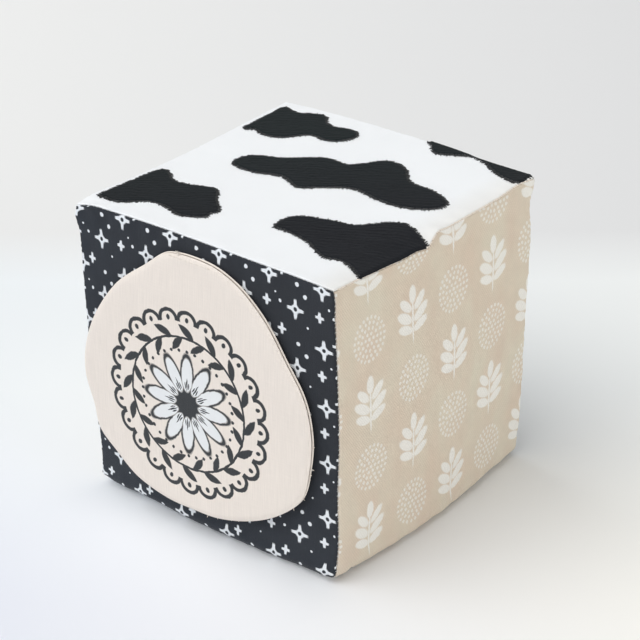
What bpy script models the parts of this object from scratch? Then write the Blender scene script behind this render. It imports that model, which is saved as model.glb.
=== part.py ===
"""A soft fabric block: a foam cube in a sewn cotton cover, with a flap that lifts on its front face.

Run it with: blender --background --python part.py
Metres, +Z up. The origin is the middle of the base, the flap is on the -Y face, and the face with the
raised spots is the top.
"""

import math

import bmesh
import bpy
from mathutils import Matrix, Vector

# The block.
SIDE = 0.127  # from seam to seam, across the top and up the sides
TAPER_SHARE = 0.04  # how much narrower the block is at its base
SWELL_HEIGHT = 0.0025  # how far a tightly filled face stands out at its middle

# The cover's six panels, and the sewing that joins them.
CLOTH = 0.0008
SEAM_ALLOWANCE = 0.006
FOLD_RADIUS = 0.001
SEAM_THREAD_RADIUS = 0.0002
THREAD_STOP = 0.004  # a seam's thread ends this far from the block's corner

# The raised spots, sewn in thick thread on the top panel.
PILE = 0.0006

# The flap: two layers of cloth with wadding between them.
FLAP_CLOTH = 0.0006
FLAP_WADDING = 0.0008
FLAP_LEAN = 0.0015  # how much further the flap stands off the block at its foot than at its top
WADDING_INSET = 0.003  # from the flap's outline to the wadding's
FLAP_SEAM_INSET = 0.0015  # from the flap's outline to the thread that joins its two layers
FLAP_THREAD_RADIUS = 0.00025
STITCHING_RADIUS = 0.00025

# Pieces that touch on the block are this far apart here.
CLEARANCE = 0.0003

# The cloth turns through this angle at a panel's edge, and the foam's edges through this one.
SEAM_FOLD_TURN = math.radians(135)
FOAM_EDGE_TURN = math.radians(90)

# How finely the soft surfaces are divided.
CELLS = 8
FLAP_CELLS = 6
FOLD_STEPS = 2
OUTLINE_STEPS = 3

# How the filled cover stands out (+) or is drawn in (-), in shares of SWELL_HEIGHT: a face's middle, then
# the middles of its four edges, low and high along the face's first axis, low and high along its second.
FACE_SWELL_SHARES = {
    "right": (0.7, 0.8, 0.2, 1.6, -0.3),
    "left": (0.7, 0.8, -0.3, 0.5, -0.7),
    "back": (0.7, -0.3, 0.2, 0.5, 0.3),
    "front": (0.6, 0.6, -0.3, 0.9, -0.3),
    "top": (0.4, -0.5, -0.3, -0.4, 0.3),
}
# How far single corners are poked out along X, Y and Z, in shares of SWELL_HEIGHT. The higher the
# power, the closer to its corner a poke stays.
CORNER_POWER = 8
CORNER_POKE_SHARES = {
    (1, 1, 1): (0.4, 0.4, 0.5),
    (-1, -1, 1): (-0.6, -0.5, 0),
    (-1, 1, 1): (0.4, -0.4, -0.2),
    (-1, -1, -1): (-0.1, -0.1, 0),
    (1, -1, -1): (0.4, -0.3, 0),
}

FACES = {
    "top": Vector((0, 0, 1)),
    "bottom": Vector((0, 0, -1)),
    "front": Vector((0, -1, 0)),
    "back": Vector((0, 1, 0)),
    "left": Vector((-1, 0, 0)),
    "right": Vector((1, 0, 0)),
}

# The spots' outlines on the top face, across and back from its middle, in shares of SIDE. A spot that
# runs into a seam has points past the edge there.
SPOT_SHARES = {
    "left_front_spot": [
        (-0.54, -0.44), (-0.54, -0.19), (-0.44, -0.18), (-0.35, -0.23), (-0.26, -0.205),
        (-0.18, -0.235), (-0.10, -0.30), (-0.10, -0.37), (-0.18, -0.41), (-0.30, -0.39), (-0.39, -0.44),
    ],
    "centre_spot": [
        (-0.305, 0.005), (-0.29, 0.065), (-0.19, 0.105), (-0.09, 0.18), (0.01, 0.20), (0.08, 0.295),
        (0.16, 0.29), (0.23, 0.22), (0.33, 0.19), (0.415, 0.17), (0.415, 0.105), (0.33, 0.05),
        (0.23, 0.055), (0.13, 0.06), (0.05, 0.005), (-0.02, -0.045), (-0.11, -0.01), (-0.21, -0.04),
    ],
    "right_front_spot": [
        (0.10, -0.295), (0.11, -0.205), (0.20, -0.16), (0.29, -0.135), (0.36, -0.065),
        (0.43, -0.045), (0.55, -0.10), (0.55, -0.41), (0.44, -0.38), (0.34, -0.365), (0.24, -0.31),
        (0.15, -0.305),
    ],
    "left_back_spot": [
        (-0.54, 0.24), (-0.54, 0.55), (-0.34, 0.55), (-0.265, 0.455), (-0.185, 0.435),
        (-0.125, 0.41), (-0.135, 0.35), (-0.205, 0.32), (-0.275, 0.305), (-0.335, 0.245),
        (-0.425, 0.235),
    ],
    "right_back_spot": [
        (0.10, 0.55), (0.115, 0.455), (0.18, 0.435), (0.25, 0.455), (0.33, 0.46), (0.39, 0.43),
        (0.44, 0.41), (0.56, 0.43), (0.56, 0.55),
    ],
}

# The flap's outline on the front face, across from the middle and up from the lower seam, in shares of
# SIDE.
FLAP_SHARES = [
    (-0.145, 0.935), (-0.085, 0.953), (-0.02, 0.957), (0.055, 0.955), (0.125, 0.935), (0.19, 0.90),
    (0.265, 0.835), (0.335, 0.735), (0.405, 0.625), (0.425, 0.505), (0.415, 0.395), (0.37, 0.285),
    (0.30, 0.185), (0.20, 0.12), (0.08, 0.08), (-0.03, 0.072), (-0.145, 0.07), (-0.27, 0.10),
    (-0.36, 0.17), (-0.43, 0.23), (-0.45, 0.315), (-0.48, 0.415), (-0.47, 0.525), (-0.42, 0.655),
    (-0.33, 0.785), (-0.22, 0.875),
]  # fmt: skip
FOLD_HEIGHT_SHARE = 0.93  # the flap turns here; above it the flap is sewn to the block
STITCHING_HEIGHT_SHARE = 0.943
STITCHING_SPAN_SHARES = (-0.11, 0.04)

WHITE_COTTON = (0.86, 0.86, 0.85)
NIGHT_CLOTH = (0.045, 0.053, 0.07)
BEIGE_CANVAS = (0.60, 0.51, 0.41)
CREAM_CANVAS = (0.84, 0.77, 0.69)
BLACK_THREAD = (0.02, 0.022, 0.025)
YELLOW_FOAM = (0.85, 0.78, 0.55)

# What follows from the sizes above. The faces stand proud of the seams, whose threads lie on the folds.
ROOT_2 = math.sqrt(2)
BESIDE_SEAM = FOLD_RADIUS + CLEARANCE / 2
ABOVE_FOLDS = math.sqrt((FOLD_RADIUS + SEAM_THREAD_RADIUS + CLEARANCE) ** 2 - BESIDE_SEAM**2)
SEAM_INSET = FOLD_RADIUS + (BESIDE_SEAM - ABOVE_FOLDS) / ROOT_2
HALF = SIDE / 2 + SEAM_INSET
PANEL_HALF = HALF - CLEARANCE / ROOT_2
FOLD_WIDTH = FOLD_RADIUS * math.tan(SEAM_FOLD_TURN / 2)
FLAP_THICKNESS = 2 * FLAP_CLOTH + FLAP_WADDING + 2 * CLEARANCE
FOLD_HEIGHT = SEAM_INSET + SIDE * FOLD_HEIGHT_SHARE


def clear_scene():
    for thing in list(bpy.data.objects):
        bpy.data.objects.remove(thing, do_unlink=True)


def collection(name):
    made = bpy.data.collections.new(name)
    bpy.context.scene.collection.children.link(made)
    return made


def finish(name, colour, roughness=0.9):
    material = bpy.data.materials.new(name)
    material.use_nodes = True
    shader = material.node_tree.nodes["Principled BSDF"]
    shader.inputs["Base Color"].default_value = (*colour, 1)
    shader.inputs["Roughness"].default_value = roughness
    shader.inputs["Metallic"].default_value = 0
    return material


def stand_out(face, a, b):
    """How far a face of the filled block stands out at the place a, b, from -1 to 1 across the face."""
    middle, low_a, high_a, low_b, high_b = FACE_SWELL_SHARES[face]
    across, along = 1 - a * a, 1 - b * b
    share = middle * across * along
    share += along * (low_a * ((1 - a) / 2) ** 2 + high_a * ((1 + a) / 2) ** 2)
    share += across * (low_b * ((1 - b) / 2) ** 2 + high_b * ((1 + b) / 2) ** 2)
    return SWELL_HEIGHT * share


def filled(point):
    """Where a point of a plain cube, measured from its middle, lies on the filled block.

    The base stays flat, because the block rests on it.
    """
    x, y, z = (max(-1, min(1, c / HALF)) for c in point)
    out = Vector((
        max(x, 0) * stand_out("right", y, z) - max(-x, 0) * stand_out("left", y, z),
        max(y, 0) * stand_out("back", x, z) - max(-y, 0) * stand_out("front", x, z),
        max(z, 0) * stand_out("top", x, y),
    ))
    for corner, poke in CORNER_POKE_SHARES.items():
        near = math.prod((1 + c * side) / 2 for c, side in zip((x, y, z), corner)) ** CORNER_POWER
        out += Vector(poke) * SWELL_HEIGHT * near
    narrowed = 1 - TAPER_SHARE * (1 - z) / 2
    return Vector((point[0] * narrowed, point[1] * narrowed, point[2] + HALF)) + out


def add_part(name, mesh, colour):
    thing = bpy.data.objects.new(name, mesh)
    parts.objects.link(thing)
    thing.data.materials.append(finish(name, colour))
    return thing


def smooth(mesh):
    mesh.shade_smooth()
    mesh.set_sharp_from_angle(angle=FOAM_EDGE_TURN / 2)


def to_mesh(name, shape):
    mesh = bpy.data.meshes.new(name)
    shape.to_mesh(mesh)
    shape.free()
    smooth(mesh)
    return mesh


def thicken(thing, thickness, offset):
    wall = thing.modifiers.new("thickness", "SOLIDIFY")
    wall.thickness = thickness
    wall.offset = offset
    wall.use_even_offset = True
    wall.use_quality_normals = True


def turn_to(direction):
    return FACES["top"].rotation_difference(direction).to_matrix().to_4x4()


def make_panel(face, colour):
    """One square of the cover: its face, rounded at the edges, and the seam allowances turned in along
    the block's diagonals, each beside its neighbour's."""
    shape = bmesh.new()
    at_top = Matrix.Translation((0, 0, HALF))
    bmesh.ops.create_grid(shape, x_segments=CELLS, y_segments=CELLS, size=PANEL_HALF, matrix=at_top)
    rim = [edge for edge in shape.edges if edge.is_boundary]
    made = bmesh.ops.extrude_edge_only(shape, edges=rim)["geom"]
    depth = SEAM_ALLOWANCE / ROOT_2
    for corner in (item for item in made if isinstance(item, bmesh.types.BMVert)):
        for axis in (0, 1):
            if PANEL_HALF - abs(corner.co[axis]) < CLEARANCE:
                corner.co[axis] -= math.copysign(depth, corner.co[axis])
        corner.co.z -= depth
    bmesh.ops.recalc_face_normals(shape, faces=shape.faces)
    for corner in shape.verts:
        corner.co = filled(turn_to(FACES[face]) @ corner.co)
    panel = add_part(f"{face}_panel", to_mesh(face, shape), colour)
    fold = panel.modifiers.new("fold", "BEVEL")
    fold.width = FOLD_WIDTH
    fold.segments = FOLD_STEPS
    fold.limit_method = "ANGLE"
    fold.angle_limit = (SEAM_FOLD_TURN + FOAM_EDGE_TURN) / 2
    thicken(panel, CLOTH, -1)


def make_foam():
    """The foam cube. Its edges are pressed back by the seam allowances."""
    shape = bmesh.new()
    foam_half = HALF - CLOTH - CLEARANCE
    bmesh.ops.create_cube(shape, size=2 * foam_half)
    bmesh.ops.subdivide_edges(shape, edges=shape.edges, cuts=CELLS - 1, use_grid_fill=True)
    for corner in shape.verts:
        corner.co = filled(corner.co)
    foam = add_part("foam_core", to_mesh("foam_core", shape), YELLOW_FOAM)
    pressed = foam.modifiers.new("pressed edges", "BEVEL")
    reach = ROOT_2 * SEAM_ALLOWANCE + CLEARANCE / ROOT_2 + ROOT_2 * CLEARANCE
    pressed.width = reach - 2 * (HALF - foam_half)
    pressed.segments = 1
    pressed.limit_method = "ANGLE"
    pressed.angle_limit = FOAM_EDGE_TURN / 2


def make_tube(name, path, radius, colour, closed=False):
    curve = bpy.data.curves.new(name, "CURVE")
    curve.dimensions = "3D"
    curve.bevel_depth = radius
    curve.bevel_resolution = 1
    curve.use_fill_caps = True
    line = curve.splines.new("POLY")
    line.points.add(len(path) - 1)
    for knot, place in zip(line.points, path):
        knot.co = (*place, 1)
    line.use_cyclic_u = closed
    return add_part(name, curve, colour)


def make_seam_thread(one, other):
    """The thread that shows in the groove between two panels, lying on both folds."""
    edge = (FACES[one] + FACES[other]) * (HALF - SEAM_INSET)
    along = FACES[one].cross(FACES[other]) * (HALF - THREAD_STOP)
    path = [filled(edge + along * (2 * i / CELLS - 1)) for i in range(CELLS + 1)]
    make_tube(f"{one}_{other}_seam_thread", path, SEAM_THREAD_RADIUS, WHITE_COTTON)


def round_outline(shares, inset=0):
    """A smooth closed outline through points given in shares of SIDE, drawn in by the inset."""
    corners = [Vector(share) * SIDE for share in shares]
    middle = sum(corners, Vector((0, 0))) / len(corners)
    corners = [c + (middle - c).normalized() * inset for c in corners]
    outline = []
    for i, start in enumerate(corners):
        before, end, after = corners[i - 1], corners[(i + 1) % len(corners)], corners[(i + 2) % len(corners)]
        for step in range(OUTLINE_STEPS):
            t = step / OUTLINE_STEPS
            outline.append((
                2 * start
                + (end - before) * t
                + (2 * before - 5 * start + 4 * end - after) * t**2
                + (3 * start - before - 3 * end + after) * t**3
            ) / 2)
    return outline


def keep_inside(thing, outline, place):
    """Cuts a piece to an outline, which stands on the plane given by place."""
    curve = bpy.data.curves.new(thing.name, "CURVE")
    curve.dimensions = "2D"
    curve.fill_mode = "BOTH"
    curve.extrude = HALF / 2
    line = curve.splines.new("POLY")
    line.points.add(len(outline) - 1)
    for knot, corner in zip(line.points, outline):
        knot.co = (*corner, 0, 1)
    line.use_cyclic_u = True
    drawn = bpy.data.objects.new(thing.name, curve)
    cutters.objects.link(drawn)
    bpy.context.view_layer.update()
    mesh = bpy.data.meshes.new_from_object(drawn.evaluated_get(bpy.context.evaluated_depsgraph_get()))
    bpy.data.objects.remove(drawn, do_unlink=True)
    welded = bmesh.new()
    welded.from_mesh(mesh)
    bmesh.ops.remove_doubles(welded, verts=welded.verts, dist=CLEARANCE / 100)
    bmesh.ops.recalc_face_normals(welded, faces=welded.faces)
    welded.to_mesh(mesh)
    welded.free()
    cutter = bpy.data.objects.new(f"{thing.name}_outline", mesh)
    cutters.objects.link(cutter)
    cutter.matrix_world = place
    cutter.hide_render = True
    cutter.display_type = "WIRE"
    cut = thing.modifiers.new("outline", "BOOLEAN")
    cut.operation = "INTERSECT"
    cut.object = cutter


def make_spot(name, shares):
    """A raised spot on the top panel, as far as the fold of the seam that it runs into."""
    shape = bmesh.new()
    on_panel = Matrix.Translation((0, 0, HALF + CLEARANCE))
    reach = PANEL_HALF - FOLD_WIDTH
    bmesh.ops.create_grid(shape, x_segments=CELLS, y_segments=CELLS, size=reach, matrix=on_panel)
    for corner in shape.verts:
        corner.co = filled(corner.co)
    spot = add_part(name, to_mesh(name, shape), BLACK_THREAD)
    thicken(spot, PILE, 1)
    keep_inside(spot, round_outline(shares), Matrix.Translation((0, 0, 2 * HALF)))


def flap_point(x, z, off):
    """A point that hangs off the front face by off and by the flap's lean, at x across and z up."""
    place = filled(Vector((x, -HALF, z - HALF)))
    lean = FLAP_LEAN * max(0, FOLD_HEIGHT - z) / FOLD_HEIGHT
    return Vector((x, place.y - off - lean, z))


def make_flap_layer(name, off, thickness, low, high, colour, inset=0):
    """A layer of the flap between two heights, cut to the flap's outline."""
    xs = [share[0] * SIDE for share in FLAP_SHARES]
    left, right = min(xs) - FLAP_THICKNESS, max(xs) + FLAP_THICKNESS
    shape = bmesh.new()
    bmesh.ops.create_grid(shape, x_segments=FLAP_CELLS, y_segments=FLAP_CELLS, size=1)
    for corner in shape.verts:
        across, up = (corner.co.x + 1) / 2, (corner.co.y + 1) / 2
        corner.co = flap_point(left + (right - left) * across, low + (high - low) * up, off)
    layer = add_part(name, to_mesh(name, shape), colour)
    thicken(layer, thickness, 1)
    upright = Matrix.Translation((0, -HALF, SEAM_INSET)) @ Matrix.Rotation(math.radians(90), 4, "X")
    keep_inside(layer, round_outline(FLAP_SHARES, inset), upright)
    return layer


def make_flap():
    """The flap hangs from a fold just under its sewn top margin. The fold's axis is as far forward as
    the stitching, so that the flap clears it when it is folded up."""
    below, above = FOLD_HEIGHT - CLEARANCE / 2, FOLD_HEIGHT + CLEARANCE / 2
    wadding_off = 2 * CLEARANCE + FLAP_CLOTH
    face_off = wadding_off + FLAP_WADDING + CLEARANCE
    moving = [
        make_flap_layer("flap_backing", CLEARANCE, FLAP_CLOTH, 0, below, CREAM_CANVAS),
        make_flap_layer(
            "flap_wadding", wadding_off, FLAP_WADDING, 0, below - WADDING_INSET, WHITE_COTTON, WADDING_INSET
        ),
        make_flap_layer("flap_face", face_off, FLAP_CLOTH, 0, below, CREAM_CANVAS),
    ]
    between = wadding_off + FLAP_WADDING / 2
    highest = below - FLAP_SEAM_INSET
    seam = [
        flap_point(corner.x, min(corner.y + SEAM_INSET, highest), between)
        for corner in round_outline(FLAP_SHARES, FLAP_SEAM_INSET)[::2]
    ]
    moving.append(make_tube("flap_edge_thread", seam, FLAP_THREAD_RADIUS, CREAM_CANVAS, closed=True))
    make_flap_layer("flap_top_margin", CLEARANCE, FLAP_THICKNESS, above, SIDE, CREAM_CANVAS)
    front = CLEARANCE + FLAP_THICKNESS
    start, end = (share * SIDE for share in STITCHING_SPAN_SHARES)
    line = [start + (end - start) * i / CELLS for i in range(CELLS + 1)]
    off = front + CLEARANCE + STITCHING_RADIUS
    height = SEAM_INSET + SIDE * STITCHING_HEIGHT_SHARE
    stitching = [flap_point(x, height, off) for x in line]
    make_tube("flap_stitching", stitching, STITCHING_RADIUS, CREAM_CANVAS)
    hinge = bpy.data.objects.new("flap_fold", None)
    parts.objects.link(hinge)
    hinge.location = flap_point(0, FOLD_HEIGHT, off + STITCHING_RADIUS + CLEARANCE)
    bpy.context.view_layer.update()
    for piece in moving:
        piece.parent = hinge
        piece.matrix_parent_inverse = hinge.matrix_world.inverted()


clear_scene()
parts = collection("soft_fabric_block")
cutters = collection("cutters")
make_foam()
for side, cloth_colour in (
    ("top", WHITE_COTTON),
    ("bottom", WHITE_COTTON),
    ("front", NIGHT_CLOTH),
    ("back", NIGHT_CLOTH),
    ("left", BEIGE_CANVAS),
    ("right", BEIGE_CANVAS),
):
    make_panel(side, cloth_colour)
for level in ("top", "bottom"):
    for side in ("front", "back", "left", "right"):
        make_seam_thread(level, side)
for end in ("front", "back"):
    for side in ("left", "right"):
        make_seam_thread(end, side)
for spot_name, spot_shares in SPOT_SHARES.items():
    make_spot(spot_name, spot_shares)
make_flap()
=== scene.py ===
# %% [markdown]
# # A soft fabric block
#
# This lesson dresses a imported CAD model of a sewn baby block: a foam cube in a cotton cover of six squares,
# with raised black spots on top and a padded flap that lifts on the front. The CAD solids are simple, and
# each one is replaced here by a finer piece that lies in the same place. Everything is in metres.

import math
import random

import bpy
import numpy as np
from mathutils import Matrix, Vector, noise


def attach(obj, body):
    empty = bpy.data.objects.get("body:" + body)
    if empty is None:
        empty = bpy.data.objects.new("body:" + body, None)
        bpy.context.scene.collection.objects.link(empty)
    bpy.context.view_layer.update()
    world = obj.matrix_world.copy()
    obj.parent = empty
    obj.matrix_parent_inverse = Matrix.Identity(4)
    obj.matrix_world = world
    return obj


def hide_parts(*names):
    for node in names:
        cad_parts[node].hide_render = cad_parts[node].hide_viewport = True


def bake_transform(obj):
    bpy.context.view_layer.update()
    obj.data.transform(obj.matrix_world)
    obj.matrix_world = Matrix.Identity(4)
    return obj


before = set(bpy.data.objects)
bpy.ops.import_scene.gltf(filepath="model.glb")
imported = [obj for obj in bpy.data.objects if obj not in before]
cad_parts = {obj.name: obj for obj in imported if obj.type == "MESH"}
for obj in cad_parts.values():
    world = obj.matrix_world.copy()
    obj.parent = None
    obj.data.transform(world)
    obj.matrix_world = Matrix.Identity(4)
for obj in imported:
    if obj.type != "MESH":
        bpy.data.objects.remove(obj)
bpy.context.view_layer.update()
bpy.ops.object.select_all(action="DESELECT")
print("CAD nodes:", len(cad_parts))

# %% [markdown]
# ## The block's sizes
#
# These are the sizes that the CAD solids were made with. A cover that is stuffed tightly stands out a
# little at the middle of its faces and is drawn in at some of its edges. The same rule that bends the CAD
# solids bends every piece here, so the pieces stay together however finely they are divided.

# %% Sizes
SIDE = 0.127
TAPER_SHARE = 0.04
SWELL_HEIGHT = 0.0025
CLOTH = 0.0008
SEAM_ALLOWANCE = 0.006
FOLD_RADIUS = 0.001
SEAM_THREAD_RADIUS = 0.0002
THREAD_STOP = 0.004
PILE = 0.0006
FLAP_CLOTH = 0.0006
FLAP_THICKNESS = 0.0026
FLAP_LEAN = 0.0015
CLEARANCE = 0.0003
CORNER_POWER = 8
SEAM_FOLD_TURN = math.radians(135)
ROOT_2 = math.sqrt(2)

BESIDE_SEAM = FOLD_RADIUS + CLEARANCE / 2
ABOVE_FOLDS = math.sqrt((FOLD_RADIUS + SEAM_THREAD_RADIUS + CLEARANCE) ** 2 - BESIDE_SEAM**2)
SEAM_INSET = FOLD_RADIUS + (BESIDE_SEAM - ABOVE_FOLDS) / ROOT_2
HALF = SIDE / 2 + SEAM_INSET
SEAM_GAP = 0.00006
PANEL_HALF = HALF - SEAM_GAP / ROOT_2
FOLD_HEIGHT = SEAM_INSET + SIDE * 0.93

# A face's middle, then its edges, low and high along its first axis, low and high along its second.
FACE_SWELL_SHARES = {
    "right": (0.7, 0.8, 0.2, 1.6, -0.3),
    "left": (0.7, -0.15, -0.3, 0.5, -0.7),
    "back": (0.7, -0.3, 0.2, 0.5, 0.3),
    "front": (0.6, 0.6, -0.3, 0.9, -0.6),
    "top": (0.4, -0.5, -0.3, -0.15, 0.3),
}
CORNER_POKE_SHARES = {
    (1, 1, 1): (0.25, 0.3, -0.35),
    (-1, -1, 1): (-0.6, -0.5, 0),
    (-1, 1, 1): (0.4, -0.4, -0.2),
    (-1, -1, -1): (-0.1, -0.1, 0),
    (1, -1, -1): (0.4, -0.3, 0),
}


def stand_out(face, a, b):
    """How far a face stands out at a place on it, from -1 to 1 along both of its axes."""
    middle, low_a, high_a, low_b, high_b = FACE_SWELL_SHARES[face]
    across, along = 1 - a * a, 1 - b * b
    share = middle * across * along
    share += along * (low_a * ((1 - a) / 2) ** 2 + high_a * ((1 + a) / 2) ** 2)
    share += across * (low_b * ((1 - b) / 2) ** 2 + high_b * ((1 + b) / 2) ** 2)
    return SWELL_HEIGHT * share


WOBBLE = 0.0003
WOBBLE_LENGTH = 0.03
WOBBLE_SEED = 3
# Without a seed noise_vector starts from the clock, and every run would give another block.
noise.seed_set(WOBBLE_SEED)

# Places where the sewing bulges or gives, from -1 to 1 along each axis, how far that reaches along each
# axis, and how far the cover moves there.
EVERYWHERE = 100
BULGE_END = 9  # three reaches away, squared
TOO_LITTLE = 1e-4
BULGES = (
    ((1, -1, -0.72), (0.24, 0.24, 0.24), (0.0016, -0.0002, 0)),
    ((-1, -1, 0), (0.35, 0.35, EVERYWHERE), (0.0008, 0, 0)),
    ((-1, -1, -0.75), (0.35, 0.35, 0.3), (0.0017, 0, 0)),
    ((0, -1, 1), (EVERYWHERE, 0.12, 0.12), (0, 0.0002, 0.0004)),
    ((1, -0.3, 1), (0.09, 0.2, 0.12), (0.001, 0, -0.0013)),
    ((1, -0.58, 1), (0.09, 0.17, 0.12), (0.0004, 0, -0.0004)),
    ((1, -0.12, 1), (0.08, 0.075, 0.09), (0.0012, 0, -0.0015)),
    ((1, 0.03, 1), (0.08, 0.05, 0.09), (-0.0004, 0, 0.0005)),
    ((1, 0.84, 1), (0.1, 0.16, 0.1), (-0.0007, 0, 0.0011)),
    ((1, 0, 0.92), (0.06, EVERYWHERE, 0.06), (0.0004, 0, 0)),
    ((1, 0, -1), (0.06, EVERYWHERE, 0.035), (-0.0024, 0, 0.0004)),
    ((1, 0, -0.93), (0.06, EVERYWHERE, 0.06), (0.0008, 0, 0)),
    ((0, -1, -1), (EVERYWHERE, 0.06, 0.035), (0, 0.0016, 0.0003)),
    ((0, -1, -0.94), (EVERYWHERE, 0.06, 0.05), (0, -0.0004, 0)),
    ((-1, 0, -1), (0.05, EVERYWHERE, 0.035), (0.0009, 0, 0.0003)),
    ((0, 1, -1), (EVERYWHERE, 0.05, 0.035), (0, -0.0009, 0.0003)),
    ((0.65, 1, 1), (0.15, 0.15, 0.1), (0, 0, -0.0005)),
    ((1, 1, 0.82), (0.2, 0.2, 0.12), (-0.001, -0.0009, 0)),
    ((1, 1, -0.6), (0.15, 0.15, 0.3), (0.0008, 0.0002, 0)),
    ((1, -0.15, -1), (0.12, 0.45, 0.12), (0.0005, 0, 0)),
    ((1, 0.62, -1), (0.15, 0.3, 0.15), (-0.0005, 0, 0.0008)),
    ((1, -0.84, -1), (0.06, 0.035, 0.06), (-0.0006, 0, 0.0012)),
    ((-0.55, -1, -1), (0.25, 0.1, 0.1), (0, 0, 0.0012)),
    ((0.75, -1, -1), (0.15, 0.1, 0.1), (0, 0, 0.0006)),
    ((-1, -1, 1), (0.09, 0.09, 0.1), (0.0004, 0.0006, -0.0021)),
    ((-1, -1, 0.92), (0.1, 0.1, 0.07), (-0.0013, -0.0004, 0)),
    ((1, 1, -1), (0.2, 0.2, 0.15), (-0.0004, -0.0003, 0.0004)),
    ((1, -1, -1), (0.14, 0.14, 0.14), (-0.0004, 0.0002, 0.0004)),
    ((-1, -1, -1), (0.12, 0.12, 0.12), (-0.0005, 0.0002, 0.0014)),
    ((-1, 1, -1), (0.15, 0.15, 0.15), (0.0004, -0.0004, 0.0012)),
)


def filled(point):
    """Where a point of a plain cube, measured from its middle, lies on the filled block."""
    x, y, z = (max(-1, min(1, c / HALF)) for c in point)
    out = Vector((
        max(x, 0) * stand_out("right", y, z) - max(-x, 0) * stand_out("left", y, z),
        max(y, 0) * stand_out("back", x, z) - max(-y, 0) * stand_out("front", x, z),
        max(z, 0) * stand_out("top", x, y),
    ))
    for corner, poke in CORNER_POKE_SHARES.items():
        near = math.prod((1 + c * side) / 2 for c, side in zip((x, y, z), corner)) ** CORNER_POWER
        if near > TOO_LITTLE:
            out += Vector(poke) * SWELL_HEIGHT * near
    for middle, reach, push in BULGES:
        away = sum(((c - m) / r) ** 2 for c, m, r in zip((x, y, z), middle, reach))
        if away < BULGE_END:
            out += Vector(push) * math.exp(-away)
    # The hand of the sewer shows in small unevenness, but the foot stays level.
    hand = noise.noise_vector(Vector(point) / WOBBLE_LENGTH) * WOBBLE
    hand.z *= (1 + z) / 2
    narrowed = 1 - TAPER_SHARE * (1 - z) / 2
    return Vector((point[0] * narrowed, point[1] * narrowed, point[2] + HALF)) + out + hand


print("half the block:", round(HALF * 1000, 2), "mm")

# %% [markdown]
# ## The camera
#
# The camera stands where the photograph was taken from: about a metre away, to the right of the front, and
# looking down at some 28 degrees. Its place and its turn are the ones at which the block's seven visible
# corners fall where the photograph has them. It comes first, because the floor's tones follow its
# direction. The colours are shown as they are, with the Standard view transform.

# %% Camera
CAMERA_PLACE = Vector((0.56350, -0.69118, 0.54107))
CAMERA_RIGHT = Vector((0.779537, 0.626346, -0.003457))
CAMERA_UP = Vector((-0.290214, 0.366074, 0.884175))
CAMERA_LENS = 139.31
SENSOR_WIDTH = 36

bpy.ops.object.camera_add()
camera = bpy.context.active_object
camera.name = "camera"
camera.data.lens = CAMERA_LENS
camera.data.sensor_width = SENSOR_WIDTH
turned = Matrix((CAMERA_RIGHT, CAMERA_UP, CAMERA_RIGHT.cross(CAMERA_UP))).transposed()
camera.matrix_world = Matrix.Translation(CAMERA_PLACE) @ turned.to_4x4()
bpy.context.scene.camera = camera
bpy.context.scene.view_settings.view_transform = "Standard"

# %% [markdown]
# ## Writing materials as sums
#
# Blender's shader maths is a web of small nodes. One class stands for the output of a node and gives it
# Python's operators, so a pattern can be written as a formula. Another stands for the whole material.


# %% Shader maths
class Wire:
    """The output of a node in a finish. An operator on it adds a Math node."""

    def __init__(self, finish, socket):
        self.finish, self.socket = finish, socket

    def math(self, operation, *others, clamp=False):
        return self.finish.node(
            "Math", {"operation": operation, "use_clamp": clamp}, dict(enumerate((self, *others)))
        )

    def __add__(self, other):
        return self.math("ADD", other)

    def __mul__(self, other):
        return self.math("MULTIPLY", other)

    def __sub__(self, other):
        return self.math("SUBTRACT", other)

    def __truediv__(self, other):
        return self.math("DIVIDE", other)

    def __pow__(self, other):
        return self.math("POWER", other)

    def __rsub__(self, other):
        return self.finish.node("Math", {"operation": "SUBTRACT"}, {0: other, 1: self})

    def __abs__(self):
        return self.math("ABSOLUTE")

    __radd__ = __add__
    __rmul__ = __mul__

    def at_most(self, other):
        return self.math("MINIMUM", other)

    def at_least(self, other):
        return self.math("MAXIMUM", other)

    def clamped(self):
        return self.math("ADD", 0, clamp=True)

    def wrapped(self, pitch):
        """The value folded into the range from -pitch/2 to pitch/2."""
        return self.math("WRAP", pitch / 2, -pitch / 2)

    def step_of(self, pitch):
        """The number of the pitch that the value is in."""
        return (self / pitch + 0.5).math("FLOOR")

    def odd(self):
        return self.math("FLOORED_MODULO", 2)


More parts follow.
